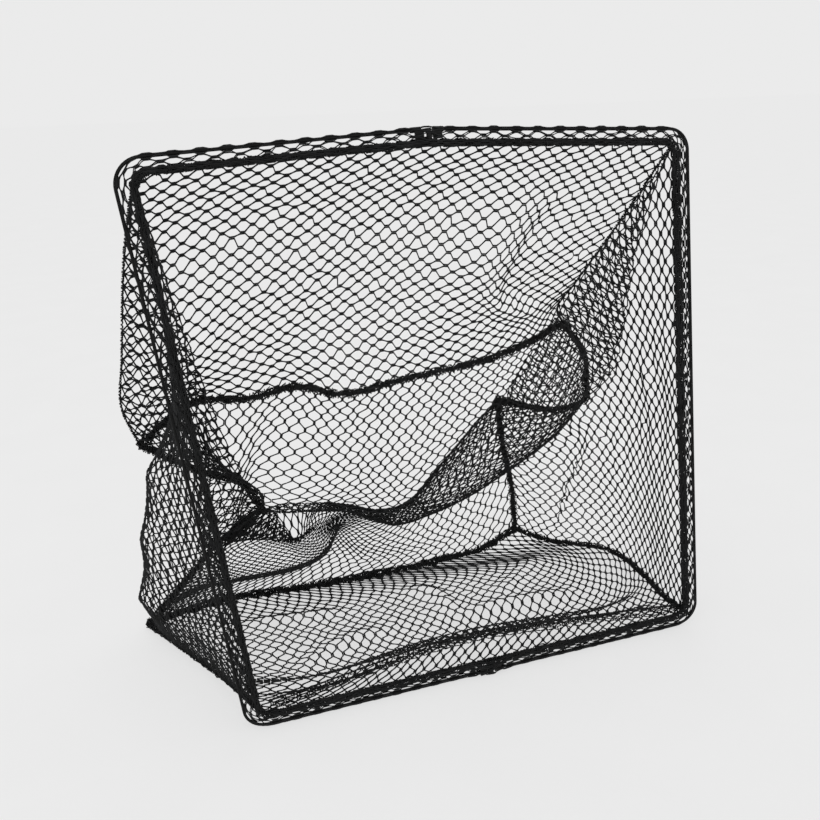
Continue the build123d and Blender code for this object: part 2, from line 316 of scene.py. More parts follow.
def ripple(sheet, seed, height, waves=5, push=(0, 0, 1)):
    """Gives a sheet slow irregular waves that die away at its edges."""
    rng = np.random.default_rng(seed)
    rows, columns = sheet.shape[:2]
    down, over = np.meshgrid(np.linspace(0, 1, rows), np.linspace(0, 1, columns), indexing="ij")
    total = np.zeros((rows, columns))
    for _ in range(waves):
        turn, phase = rng.uniform(0, math.pi), rng.uniform(0, 2 * math.pi)
        pace = rng.uniform(5, 14)
        total += np.sin(pace * (math.cos(turn) * down + math.sin(turn) * over) + phase)
    edge = np.minimum.reduce([down, 1 - down, over, 1 - over])
    total *= np.clip(edge / 0.12, 0, 1) * height * MM / math.sqrt(waves)
    return sheet + total[..., None] * np.asarray(push)


def read_sheet(sheet, over, down):
    """Points of a sheet at the given shares across and down it."""
    rows, columns = sheet.shape[:2]
    r, c = np.clip(down, 0, 1) * (rows - 1), np.clip(over, 0, 1) * (columns - 1)
    r0 = np.minimum(r.astype(int), rows - 2)
    c0 = np.minimum(c.astype(int), columns - 2)
    fr, fc = (r - r0)[..., None], (c - c0)[..., None]
    upper = sheet[r0, c0] * (1 - fc) + sheet[r0, c0 + 1] * fc
    lower = sheet[r0 + 1, c0] * (1 - fc) + sheet[r0 + 1, c0 + 1] * fc
    return upper * (1 - fr) + lower * fr


# =============================== threads and meshes ===============================


def unit(vectors):
    """The same directions at length one."""
    return vectors / np.maximum(np.linalg.norm(vectors, axis=-1, keepdims=True), 1e-12)


def tubes(paths, normals, radii, sides=TUBE_SIDES):
    """Tubes along many paths of equal length. Returns vertices, quads and each quad's middle."""
    count, steps = paths.shape[:2]
    tangents = unit(np.gradient(paths, axis=1))
    normals = unit(normals - (normals * tangents).sum(-1, keepdims=True) * tangents)
    across = np.cross(tangents, normals)
    turn = np.arange(sides) * 2 * math.pi / sides
    round_ = np.cos(turn)[:, None] * normals[:, :, None] + np.sin(turn)[:, None] * across[:, :, None]
    radii = np.broadcast_to(np.asarray(radii, float), (count, steps)) * MM
    vertices = paths[:, :, None] + round_ * radii[:, :, None, None]
    ring = np.arange(count * steps).reshape(count, steps)[:, :-1, None] * sides
    a = np.arange(sides)[None, None]
    b = (a + 1) % sides
    quads = np.stack([ring + a, ring + b, ring + sides + b, ring + sides + a], axis=-1)
    middles = np.repeat((paths[:, :-1] + paths[:, 1:])[:, :, None] / 2, sides, axis=2)
    return vertices.reshape(-1, 3), quads.reshape(-1, 4), middles.reshape(-1, 3)


def joined(parts):
    """Several (vertices, quads, middles) as one."""
    vertices, quads, middles, start = [], [], [], 0
    for v, q, m in parts:
        vertices.append(v)
        quads.append(q + start)
        middles.append(m)
        start += len(v)
    return np.concatenate(vertices), np.concatenate(quads), np.concatenate(middles)


def make_mesh(name, strands, keep, material):
    """A mesh object of the quads whose middle passes keep."""
    vertices, quads, middles = strands
    quads = quads[keep(middles)]
    used, index = np.unique(quads, return_inverse=True)
    quads = index.reshape(quads.shape)
    vertices = vertices.copy()
    vertices[:, 2] = np.maximum(vertices[:, 2], GROUND_CLEARANCE * MM)
    mesh = bpy.data.meshes.new(name)
    mesh.vertices.add(len(used))
    mesh.vertices.foreach_set("co", vertices[used].astype(np.float32).ravel())
    mesh.loops.add(quads.size)
    mesh.loops.foreach_set("vertex_index", quads.astype(np.int32).ravel())
    mesh.polygons.add(len(quads))
    mesh.polygons.foreach_set("loop_start", np.arange(0, quads.size, 4, dtype=np.int32))
    mesh.polygons.foreach_set("loop_total", np.full(len(quads), 4, dtype=np.int32))
    mesh.polygons.foreach_set("use_smooth", np.ones(len(quads), bool))
    mesh.update(calc_edges=True)
    mesh.validate()
    mesh.materials.append(material)
    piece = bpy.data.objects.new(name, mesh)
    bpy.context.scene.collection.objects.link(piece)
    return piece


def everywhere(points):
    """A test that every point passes."""
    return np.ones(len(points), bool)


def netting(
    sheet, columns, half_rows, seed, across=False, radius=THREAD_RADIUS, jitter=NET_JITTER, shear=0.0
):
    """Knotless net over a sheet. Each thread zigzags down it, or across it, and lies beside its
    neighbour for a short way at every join. Shear is how far over the sheet a thread drifts on its
    way down, as a share of the sheet."""
    if across:
        sheet = sheet.transpose(1, 0, 2)
    rng = np.random.default_rng(seed)
    spare = math.ceil(abs(shear) * columns)
    wander = rng.normal(0, jitter, (2, half_rows + 1, columns + 3 + 2 * spare))
    level = np.arange(half_rows + 1)
    odd = level % 2
    overs, downs, lifts = [], [], []
    for thread in range(-spare, columns + 1 + spare):
        for side in (-1, 1):
            join = np.where(odd == 1, thread + (side - 1) // 2, thread) + 1 + spare
            centre = thread + 0.5 * side * odd + wander[0][level, join]
            drop = level + wander[1][level, join]
            own = side * (1.0 - 2 * odd)
            between = (centre[:-1] + centre[1:]) / 2
            over, down = np.empty(3 * half_rows + 2), np.empty(3 * half_rows + 2)
            lift = np.zeros(3 * half_rows + 2)
            over[0::3], over[1::3], over[2::3] = centre, centre, between
            down[0::3], down[1::3] = drop - JOIN_SHARE, drop + JOIN_SHARE
            down[2::3] = (drop[:-1] + drop[1:]) / 2
            lift[0::3], lift[1::3] = own, own
            overs.append(over / columns)
            downs.append(down / half_rows)
            lifts.append(lift)
    overs, downs, lifts = np.array(overs), np.clip(np.array(downs), 0, 1), np.array(lifts)
    overs = overs + shear * (downs - 0.5)
    points = read_sheet(sheet, overs, downs)
    small = SHEET_STEP
    o, d = np.clip(overs, small, 1 - small), np.clip(downs, small, 1 - small)
    over_way = unit(read_sheet(sheet, o + small, d) - read_sheet(sheet, o - small, d))
    down_way = read_sheet(sheet, o, d + small) - read_sheet(sheet, o, d - small)
    normals = unit(np.cross(over_way, down_way))
    points = points + over_way * (lifts * JOIN_SPREAD * radius * MM)[..., None]
    points = points + normals * (lifts * JOIN_LIFT * radius * MM)[..., None]
    thickness = radius * np.where(lifts == 0, THREAD_WAIST, 1.0)
    vertices, quads, middles = tubes(points, normals, thickness)
    slack = EDGE_SLACK / columns
    inside = (overs >= -slack) & (overs <= 1 + slack)
    kept = np.repeat((inside[:, :-1] & inside[:, 1:]).ravel(), TUBE_SIDES)
    return vertices, quads[kept], middles[kept]


def carried_frame(path):
    """Two directions square to a path at each point, carried along it without twist."""
    tangents = unit(np.gradient(path, axis=0))
    start = np.array([0.0, 1.0, 0.0])
    if abs(tangents[0] @ start) > 0.9:
        start = np.array([0.0, 0.0, 1.0])
    sides = np.zeros_like(path)
    side = start
    for k, tangent in enumerate(tangents):
        side = unit(side - (side @ tangent) * tangent)
        sides[k] = side
    return sides, np.cross(tangents, sides)


def drifting(rng, count, every):
    """Smooth random values between about -1 and 1, with a new target every few steps."""
    knots = np.arange(0, count + every, every, dtype=float)
    return hermite(knots, rng.uniform(-1, 1, len(knots)), np.arange(count, dtype=float))


def read_line(values, places):
    """Rows of values read at places between them."""
    steps = np.arange(len(values))
    return np.stack([np.interp(places, steps, column) for column in values.T], axis=1)


def gathered_seam(line, width, seed, cords=7, stitch=4.6, fuzz=0.5):
    """A seam of bunched net: wavy cords lying together, stitches wound round them and cut ends."""
    rng = np.random.default_rng(seed)
    line = np.asarray(line, float)
    total = lengths(line)[-1] / MM
    count = max(8, int(total / SEAM_STEP))
    path = evenly(line, count)
    wide, deep = carried_frame(path)
    half = width / 2
    bulk = 1 + SEAM_LOOSENESS * drifting(rng, count, 6)
    parts = []
    for _ in range(cords):
        a = drifting(rng, count, 4) * half * 0.95 * bulk
        b = drifting(rng, count, 4) * half * 0.8 * bulk
        cord = path + (wide * a[:, None] + deep * b[:, None]) * MM
        thick = width * CORD_SHARE * (1 + CORD_UNEVENNESS * drifting(rng, count, 2))
        parts.append(tubes(cord[None], wide[None], thick[None], SEAM_SIDES))
    turns = int(total / stitch)
    for start in (0.0, math.pi):
        places = np.linspace(0, count - 1, turns * WINDING_POINTS)
        spot, w, d = (read_line(values, places) for values in (path, wide, deep))
        turn = start + np.linspace(0, turns * 2 * math.pi, len(places))
        turn = turn + 1.6 * drifting(rng, len(places), 9)
        reach = half * (0.95 + 0.4 * drifting(rng, len(places), 4))
        winding = spot + (w * (np.cos(turn) * reach)[:, None] + d * (np.sin(turn) * reach)[:, None]) * MM
        parts.append(tubes(winding[None], w[None], WINDING_RADIUS, SEAM_SIDES))
    ends = int(total * fuzz / 2)
    if ends:
        at = rng.integers(1, count - 1, ends)
        turn = rng.uniform(0, 2 * math.pi, ends)
        out = wide[at] * np.cos(turn)[:, None] + deep[at] * np.sin(turn)[:, None]
        lean = unit(np.gradient(path, axis=0))[at] * rng.uniform(-1, 1, ends)[:, None]
        reach = rng.uniform(0.8, 1.6, ends)[:, None] * half * MM
        bits = np.stack([path[at], path[at] + out * reach * 0.7, path[at] + (out + lean) * reach], 1)
        normals = np.repeat(unit(np.cross(out, lean + 1e-4))[:, None], 3, axis=1)
        parts.append(tubes(bits, normals, CUT_END_RADII, SEAM_SIDES))
    return joined(parts)


# =============================== the mouth ===============================


def mouth_corners(inset=0.0):
    """The corners of the mouth and the top of the fold, moved in towards the mouth's middle."""
    slope = LEAN / MOUTH_HEIGHT
    left, right = -HALF_WIDTH + inset, HALF_WIDTH - inset
    low, high = FOOT + inset, FOOT + MOUTH_HEIGHT - inset
    return {
        "bottom_left": (left - slope * inset, low),
        "bottom_right": (right - slope * inset, low),
        "top_right": (right - slope * (MOUTH_HEIGHT - inset), high),
        "top_left": (left - slope * (MOUTH_HEIGHT - inset), high),
        "top_fold": (-LEAN, high + TOP_RISE),
    }


def mouth_loop(inset, radius, y=0.0, step=2.5):
    """A closed line round the mouth with rounded corners, starting at the middle of its foot."""
    corners = mouth_corners(inset)
    names = ["bottom_right", "top_right", "top_fold", "top_left", "bottom_left"]
    foot = np.array([0.0, FOOT + inset])
    points = [foot]
    ring = [np.array(corners[name]) for name in names]
    for name, corner, last, following in zip(names, ring, [foot] + ring[:-1], ring[1:] + [foot]):
        if name == "top_fold":
            points.append(corner)
            continue
        back, on = unit(last - corner), unit(following - corner)
        half = math.acos(np.clip(back @ on, -1, 1)) / 2
        centre = corner + unit(back + on) * radius / math.sin(half)
        first = corner + back * radius / math.tan(half)
        final = corner + on * radius / math.tan(half)
        start = math.atan2(*(first - centre)[::-1])
        sweep = math.pi - 2 * half
        turns = start + np.linspace(0, sweep, 9)
        points += [centre + radius * np.array([math.cos(t), math.sin(t)]) for t in turns]
        points[-1] = final
    points.append(foot)
    line = np.array([bag(p[0], y, p[1]) for p in points])
    return evenly(line, int(lengths(line)[-1] / MM / step))


def mouth_edge(first, last, inset=PANEL_START, y=2.0):
    """A straight edge of the mouth's inside, where a panel of the bag begins."""
    corners = mouth_corners(inset)
    stops = [corners[first], corners[last]]
    if {first, last} == {"top_left", "top_right"}:
        stops.insert(1, corners["top_fold"])
    return evenly([bag(p[0], y, p[1]) for p in stops], 120)


# =============================== landmarks of the slack bag ===============================


def mouth_point(name, y):
    """A corner of the mouth's inside, where the netting leaves the hem."""
    x, z = mouth_corners(PANEL_START)[name]
    return bag(x, y, z)


TOP_LEFT = mouth_point("top_left", 2)
TOP_RIGHT = mouth_point("top_right", 2)
FOOT_LEFT = mouth_point("bottom_left", 4)
FOOT_RIGHT = mouth_point("bottom_right", 4)

# The right vertical seam folds in a zigzag as the slack back slides down.
SEAM_HEAD_RIGHT = bag(189, 195, 350)
SEAM_OUT_RIGHT = bag(247, 228, 226)
SEAM_IN_RIGHT = bag(98, 196, 260)
SEAM_FOOT_RIGHT = bag(154, 258, 30)

# The left vertical seam folds in once, deep under the top panel.
SEAM_HEAD_LEFT = bag(-347, 150, 283)
SEAM_IN_LEFT = bag(-216, 190, 165)
SEAM_FOOT_LEFT = bag(-367, 247, 3)


def right_seam_runs():
    """The three runs of the right vertical seam, from the top down."""
    return [
        smooth_line([SEAM_HEAD_RIGHT, bag(231, 212, 298), SEAM_OUT_RIGHT]),
        smooth_line([SEAM_OUT_RIGHT, bag(211, 222, 221), bag(145, 206, 239), SEAM_IN_RIGHT]),
        smooth_line([SEAM_IN_RIGHT, bag(118, 222, 180), bag(139, 240, 111), SEAM_FOOT_RIGHT]),
    ]


def left_seam_runs():
    """The two runs of the left vertical seam, from the top down."""
    return [
        smooth_line([SEAM_HEAD_LEFT, bag(-277, 172, 228), bag(-241, 182, 208), SEAM_IN_LEFT]),
        smooth_line([SEAM_IN_LEFT, bag(-269, 200, 127), bag(-316, 218, 71), SEAM_FOOT_LEFT]),
    ]


def top_back_line():
    """The seam between the top panel and the back."""
    return smooth_line(
        [
            SEAM_HEAD_LEFT,
            bag(-287, 135, 329),
            bag(-227, 118, 330),
            bag(-180, 118, 336),
            bag(-126, 116, 321),
            bag(-57, 120, 327),
            bag(7, 125, 331),
            bag(74, 135, 336),
            bag(133, 160, 343),
            SEAM_HEAD_RIGHT,
        ]
    )


def floor_back_line():
    """The seam between the floor and the back."""
    return smooth_line(
        [
            SEAM_FOOT_LEFT,
            bag(-259, 271, 2),
            bag(-179, 263, 2),
            bag(-24, 257, 2),
            bag(102, 265, 3),
            SEAM_FOOT_RIGHT,
        ]
    )


def floor_right_line():
    """The seam between the floor and the right side, which bulges out and comes back in."""
    return smooth_line(
        [
            FOOT_RIGHT,
            bag(272, 65, 4),
            bag(278, 109, 3),
            bag(271, 197, 3),
            bag(204, 251, 5),
            SEAM_FOOT_RIGHT,
        ]
    )


def floor_left_line():
    """The seam between the floor and the left side."""
    return smooth_line([FOOT_LEFT, bag(-291, 89, 5), SEAM_FOOT_LEFT])


def top_right_line():
    """The edge where the top panel turns down into the right side."""
    return smooth_line(
        [TOP_RIGHT, bag(187, 80, 481), bag(176, 140, 414), bag(174, 182, 370), SEAM_HEAD_RIGHT]
    )


def top_left_line():
    """The edge where the top panel turns down into the left side."""
    return smooth_line(
        [TOP_LEFT, bag(-337, 60, 507), bag(-353, 110, 391), bag(-360, 130, 335), SEAM_HEAD_LEFT]
    )


# =============================== panels of the bag ===============================


def top_panel():
    """The top panel dips away from the bar, then hangs steeply to the back seam. A soft fold runs
    down it on the right."""
    high = [
        bag(-338, 45, 534),
        bag(-198, 50, 529),
        bag(-65, 52, 535),
        bag(79, 50, 527),
        bag(198, 50, 515),
    ]
    middle = [
        bag(-343, 85, 451),
        bag(-216, 86, 458),
        bag(-69, 86, 464),
        bag(80, 90, 451),
        bag(187, 98, 456),
    ]
    low = [
        bag(-357, 122, 349),
        bag(-235, 106, 390),
        bag(-73, 106, 395),
        bag(76, 112, 392),
        bag(175, 150, 402),
    ]
    guides = [mouth_edge("top_left", "top_right"), high, middle, low, top_back_line()]
    sheet = loft(guides, [0, 0.25, 0.5, 0.75, 1])
    sheet = pull_edge(sheet, "right", top_right_line())
    sheet = pull_edge(sheet, "left", top_left_line())
    fold = [
        bag(97, 40, 547),
        bag(76, 65, 501),
        bag(62, 85, 462),
        bag(51, 100, 427),
        bag(55, 110, 403),
        bag(79, 122, 391),
        bag(142, 155, 370),
    ]
    sheet = billow(sheet, fold, (4, 34, 0), 30, 95)
    sheet = gather(sheet, fold[::-1], 0.42, 42)
    return ripple(sheet, 3, 1.6, push=(0, 1, 0))


def fabric_side(rays, starts, ends, rows=200, columns=140):
    """A side panel spanned by rays that run back from the mouth bar to the vertical seam.
    Starts and ends say how far down the net each ray leaves the bar and meets the seam."""
    over = np.linspace(0, 1, columns)
    down = np.linspace(0, 1, rows)
    rails = np.array([evenly(r, columns) for r in rays])
    sheet = np.zeros((rows, columns, 3))
    apart = np.arange(len(rays)) * 1e-6  # keeps rays that leave the bar together in order
    for c, share in enumerate(over):
        levels = np.asarray(starts) * (1 - share) + np.asarray(ends) * share + apart
        for k in range(3):
            sheet[:, c, k] = np.interp(down, levels, rails[:, c, k])
    return sheet


def right_side():
    """The right side folds back on itself twice from the top corner of the mouth."""
    bar = mouth_edge("top_right", "bottom_right")
    fold_out = smooth_line(
        [TOP_RIGHT, bag(219, 75, 460), bag(243, 130, 361), bag(261, 192, 264), SEAM_OUT_RIGHT]
    )
    fold_in = smooth_line([TOP_RIGHT, bag(151, 100, 421), SEAM_IN_RIGHT])
    low = smooth_line([bar[60], bag(235, 120, 219), bag(137, 232, 131)])
    rays = [top_right_line(), fold_out, fold_in, low, floor_right_line()]
    sheet = fabric_side(rays, [0, 0, 0, 0.5, 1], [0, 0.26, 0.52, 0.76, 1])
    sheet = pull_edge(sheet, "right", np.concatenate(right_seam_runs()), SIDE_JOIN)
    sheet = pull_edge(sheet, "left", bar, SIDE_JOIN)
    sheet = soften(sheet, 6)
    pleat = [
        bag(209, 222, 14),
        bag(208, 200, 60),
        bag(208, 182, 112),
        bag(210, 165, 168),
        bag(220, 150, 225),
    ]
    sheet = billow(sheet, pleat, (9, 12, 0), 24, 50)
    sheet = gather(sheet, pleat, 0.6, 38)
    thin = [bag(222, 60, 354), bag(231, 60, 262), bag(240, 60, 222), bag(248, 60, 194)]
    sheet = crease(sheet, thin, (-6, -3, 0), 7)
    return ripple(sheet, 11, 2.0, push=(1, 0.3, 0))


def left_side():
    """The left side folds in under the top panel and bulges outside its lower half."""
    bar = mouth_edge("top_left", "bottom_left")
    upper, lower = left_seam_runs()
    fold_in = smooth_line(
        [
            TOP_LEFT,
            bag(-313, 20, 523),
            bag(-289, 70, 428),
            bag(-274, 105, 355),
            bag(-253, 145, 276),
            SEAM_IN_LEFT,
        ]
    )
    belly = smooth_line(
        [bar[60], bag(-322, 80, 268), bag(-344, 150, 250), bag(-322, 195, 190), lower[30]]
    )
    low = smooth_line(
        [bar[84], bag(-320, 95, 165), bag(-362, 180, 158), bag(-346, 222, 110), lower[70]]
    )
    under = smooth_line([bar[102], bag(-328, 120, 66), bag(-370, 212, 66), lower[96]])
    rays = [top_left_line(), fold_in, belly, low, under, floor_left_line()]
    sheet = fabric_side(rays, [0, 0, 0.5, 0.7, 0.85, 1], [0, 0.42, 0.56, 0.74, 0.88, 1])
    sheet = pull_edge(sheet, "right", np.concatenate([upper, lower]), SIDE_JOIN)
    sheet = pull_edge(sheet, "left", bar, SIDE_JOIN)
    sheet = soften(sheet, 6)
    return ripple(sheet, 13, 1.8, push=(1, 0.3, 0))


def back_panel():
    """The back hangs from the top seam to a fold, doubles up to a second fold and drops to the
    floor. On the left a flap hangs below the seam, and the slack rests behind it as a rounded lobe
    with a nearly level top."""
    fold_low = [
        SEAM_IN_LEFT,
        bag(-250, 200, 142),
        bag(-262, 205, 126),
        bag(-240, 208, 130),
        bag(-214, 199, 157),
        bag(-185, 195, 155),
        bag(-162, 195, 151),
        bag(-135, 197, 144),
        bag(-106, 199, 135),
        bag(-79, 200, 120),
        bag(-39, 205, 102),
        bag(14, 208, 108),
        bag(66, 210, 121),
        bag(112, 214, 139),
        bag(152, 218, 157),
        bag(193, 222, 179),
        SEAM_OUT_RIGHT,
    ]
    fold_high = [
        bag(-240, 200, 158),
        bag(-254, 206, 134),
        bag(-226, 204, 150),
        bag(-196, 198, 163),
        bag(-165, 197, 160),
        bag(-134, 198, 154),
        bag(-106, 200, 145),
        bag(-66, 202, 129),
        bag(-33, 203, 130),
        bag(10, 204, 165),
        bag(60, 206, 210),
        SEAM_IN_RIGHT,
    ]
    pleat_low = [
        bag(-272, 204, 122),
        bag(-250, 207, 121),
        bag(-220, 211, 114),
        bag(-189, 215, 103),
        bag(-171, 217, 99),
        bag(-160, 212, 119),
        bag(-147, 205, 139),
        bag(-128, 201, 143),
        bag(-102, 203, 139),
        bag(-64, 204, 124),
        bag(-30, 206, 130),
        bag(18, 207, 162),
        bag(70, 209, 205),
        bag(103, 205, 240),
    ]
    pleat_high = [
        bag(-236, 206, 148),
        bag(-222, 204, 156),
        bag(-204, 207, 150),
        bag(-190, 217, 124),
        bag(-170, 225, 98),
        bag(-155, 226, 106),
        bag(-141, 217, 123),
        bag(-125, 205, 134),
        bag(-98, 205, 132),
        bag(-62, 206, 118),
        bag(-25, 209, 124),
        bag(28, 212, 160),
        bag(88, 216, 200),
        bag(107, 212, 220),
    ]
    shelf_far = [
        bag(-275, 240, 104),
        bag(-245, 252, 98),
        bag(-200, 242, 94),
        bag(-170, 232, 92),
        bag(-150, 227, 96),
        bag(-135, 217, 110),
        bag(-122, 209, 122),
        bag(-96, 207, 122),
        bag(-62, 209, 108),
        bag(-20, 214, 106),
        bag(40, 220, 130),
        bag(118, 228, 160),
    ]
    lobe_near = [
        bag(-300, 165, 94),
        bag(-262, 163, 89),
        bag(-218, 165, 86),
        bag(-190, 168, 85),
        bag(-163, 172, 88),
        bag(-145, 176, 95),
        bag(-130, 186, 112),
        bag(-114, 206, 98),
        bag(-88, 222, 74),
        bag(-50, 232, 60),
        bag(-4, 238, 58),
        bag(55, 242, 72),
        bag(137, 244, 110),
    ]
    lobe_under = [
        bag(-312, 238, 42),
        bag(-255, 246, 43),
        bag(-215, 248, 42),
        bag(-186, 248, 42),
        bag(-158, 245, 46),
        bag(-136, 242, 52),
        bag(-112, 245, 46),
        bag(-86, 248, 34),
        bag(-42, 251, 28),
        bag(18, 253, 28),
        bag(78, 255, 36),
        bag(148, 256, 55),
    ]
    upper, lower = left_seam_runs()
    down = right_seam_runs()
    # each guide, and how far down the net it lies at the left part and at the right part
    spaced = [
        (top_back_line(), 0, 0),
        (fold_low, 0.32, 0.42),
        (fold_high, 0.35, 0.77),
        (pleat_low, 0.41, 0.795),
        (pleat_high, 0.455, 0.82),
        (shelf_far, 0.54, 0.84),
        (lobe_near, 0.80, 0.895),
        (lobe_under, 0.92, 0.95),
        (floor_back_line(), 1, 1),
    ]
    guides, at_left, at_right = zip(*spaced)
    bunching = [1] + [BACK_BUNCHING] * (len(guides) - 1)
    sheet = loft(guides, list(zip(at_left, at_right)), rows=240, bunching=bunching)
    rows = sheet.shape[0]
    turns = [int(round(share * rows)) for share in (at_left[1], at_right[1], at_right[2])]
    left = [evenly(upper, turns[0]), evenly(lower, rows - turns[0])]
    shares = (turns[1], turns[2] - turns[1], rows - turns[2])
    right = [evenly(run, share) for run, share in zip(down, shares)]
    sheet = join_edge(sheet, "left", np.concatenate(left), BACK_LEFT_JOIN)
    sheet = join_edge(sheet, "right", np.concatenate(right), BACK_RIGHT_JOIN)
    sheet = soften(sheet, 2)
    return ripple(sheet, 17, 1.6, push=(0, 1, 0))


def floor_crest():
    """The line where the slack floor stands highest, just behind the hem."""
    return [
        bag(-253, 9, 23),
        bag(-213, 13, 24),
        bag(-179, 15, 27),
        bag(-147, 16, 31),
        bag(-78, 18, 39),
        bag(-4, 18, 42),
        bag(99, 18, 33),
        bag(208, 14, 24),
        bag(254, 9, 22),
    ]


def crest_gather():
    """Net bunched up along the crest of the floor."""
    steps = [np.array([0, y, z]) * MM for y, z in ((-3, -8), (-1, -2), (1, 1.5), (8, -4))]
    guides = [[point + step for point in floor_crest()] for step in steps]
    return loft(guides, [0, 0.35, 0.6, 1], rows=60)


def floor_panel():
    """The floor rises in a slack crest behind the hem, falls away and lies on the ground."""
    crest = floor_crest()
    near = [
        bag(-277, 60, 6),
        bag(-153, 62, 8),
        bag(-58, 58, 14),
        bag(54, 57, 6),
        bag(154, 55, 9),
        bag(268, 53, 5),
    ]
    middle = [
        bag(-314, 140, 4),
        bag(-171, 142, 6),
        bag(-42, 144, 5),
        bag(86, 136, 8),
        bag(186, 129, 5),
        bag(277, 122, 4),
    ]
    far = [
        bag(-342, 205, 4),
        bag(-189, 207, 5),
        bag(-50, 209, 8),
        bag(79, 211, 6),
        bag(168, 209, 7),
        bag(258, 202, 4),
    ]
    # behind the crest the net drops by this share of its height, then climbs a little again
    crest_falls = [[point + [0, 10 * MM, -0.32 * point[2]] for point in crest]]
    crest_falls += [[point + [0, 21 * MM, -0.22 * point[2]] for point in crest]]
    hem = mouth_edge("bottom_left", "bottom_right")
    guides = [hem, crest] + crest_falls + [near, middle, far, floor_back_line()]
    sheet = loft(guides, [0, 0.14, 0.19, 0.23, (0.38, 0.35), (0.62, 0.58), 0.82, 1])
    sheet = pull_edge(sheet, "right", floor_right_line(), FLOOR_JOIN)
    sheet = pull_edge(sheet, "left", floor_left_line(), FLOOR_JOIN)
    # the path, height and width of each crease
    creases = [
        ([bag(170, 218, 8), bag(114, 168, 8), bag(62, 126, 8)], 5, 15),
        ([bag(-40, 200, 6), bag(-3, 175, 6), bag(4, 122, 6)], 8, 10),
        ([bag(10, 117, 6), bag(96, 111, 6), bag(170, 105, 6)], 8, 11),
        ([bag(-257, 198, 6), bag(-182, 185, 6), bag(-120, 178, 6)], 8, 10),
        ([bag(-223, 73, 8), bag(-142, 111, 6), bag(-83, 120, 6)], 8, 13),
    ]
    for path, height, width in creases:
        sheet = crease(sheet, path, (0, 0, height), width)
    sheet = ripple(sheet, 23, 2.5, waves=7)
    sheet[..., 2] = np.maximum(sheet[..., 2], FLOOR_LEVEL * MM)
    return sheet


def mouth_strip(profile, step=41):
    """A strip that follows the mouth all round. The profile gives its cross-section as pairs of
    distance in from the wire and distance behind the mouth."""
    loop = mouth_loop(0.0, CORNER_RADIUS)
    tangent = unit(np.gradient(loop, axis=0))
    inward = np.stack([-tangent[:, 2], np.zeros(len(loop)), tangent[:, 0]], axis=1)
    section = hermite(np.linspace(0, 1, len(profile)), profile, np.linspace(0, 1, step))
    bulge = np.exp(-(((loop[:, 0] - fold_x(loop)) / (HINGE_COVER_REACH * MM)) ** 2))
    forward = section[:, 1:, None] - HINGE_COVER * bulge[None, :, None] * (section[:, 1:, None] < 0)
    depth = np.array([0.0, 1.0, 0.0])
    return loop[None] + (section[:, :1, None] * inward[None] + forward * depth) * MM


def hem_sheet():
    """The hem: netting folded round the wire and drawn together at the gathered seam."""
    front = [(HEM_DEPTH + 2, -1.2), (HEM_DEPTH - 3, -3.2), (4, -3.0), (0, -2.3)]
    back = [(inset, -forward) for inset, forward in reversed(front)]
    return mouth_strip(front + [(-WIRE_RADIUS - 0.6, 0)] + back)


def hem_gather():
    """The bunched net that lies over the hem's seam."""
    section = [(-2.5, -3.6), (0, -3.4), (3, -1.0), (0, 1.6), (-2.5, 3.4)]
    return mouth_strip([(HEM_DEPTH + inset, behind) for inset, behind in section])


# =============================== materials ===============================


def shader(name, build):
    """A material whose nodes are wired up by build, from the position in space."""
    material = bpy.data.materials.new(name)
    material.use_nodes = True
    tree = material.node_tree
    tree.nodes.clear()
    output = tree.nodes.new("ShaderNodeOutputMaterial")
    surface = tree.nodes.new("ShaderNodeBsdfPrincipled")
    tree.links.new(surface.outputs["BSDF"], output.inputs["Surface"])
    place = tree.nodes.new("ShaderNodeNewGeometry")
    build(tree, surface, place.outputs["Position"])
    return material


def noise(tree, place, scale, detail=4.0):
    """Cloudy values between 0 and 1."""
    node = tree.nodes.new("ShaderNodeTexNoise")
    node.inputs["Scale"].default_value = scale
    node.inputs["Detail"].default_value = detail
    tree.links.new(place, node.inputs["Vector"])
    return node.outputs["Fac"]


def ramp(tree, value, stops):
    """A colour picked from the stops by a value."""
    node = tree.nodes.new("ShaderNodeValToRGB")
    while len(node.color_ramp.elements) < len(stops):
        node.color_ramp.elements.new(0.5)
    for element, (place, colour) in zip(node.color_ramp.elements, stops):
        element.position = place
        element.color = (*colour, 1.0)
    tree.links.new(value, node.inputs["Fac"])
    return node.outputs["Color"]


def grey(level, tint=0.0):
    """A grey, made a little bluer by the tint."""
    return (level * (1 - tint), level, level * (1 + tint))


def bump(tree, surface, value, strength, distance):
    """Fine relief on a surface."""
    node = tree.nodes.new("ShaderNodeBump")
    node.inputs["Strength"].default_value = strength
    node.inputs["Distance"].default_value = distance
    tree.links.new(value, node.inputs["Height"])
    tree.links.new(node.outputs["Normal"], surface.inputs["Normal"])


def thread_material(name, dark, light):
    """Black braided polyester: faded in patches, with the fine grain of twisted fibres."""

    def build(tree, surface, place):
        patches = noise(tree, place, 60.0)
        stops = [(0.3, grey(dark)), (0.62, grey(light, 0.06)), (0.8, grey(light * 1.6))]
        colour = ramp(tree, patches, stops)
        tree.links.new(colour, surface.inputs["Base Color"])
        rough = ramp(tree, noise(tree, place, 240.0), [(0.3, grey(0.62)), (0.7, grey(0.85))])
        tree.links.new(rough, surface.inputs["Roughness"])
        bump(tree, surface, noise(tree, place, 1800.0, 6.0), 0.5, 0.0004)
        surface.inputs["Specular IOR Level"].default_value = 0.25

    return shader(name, build)


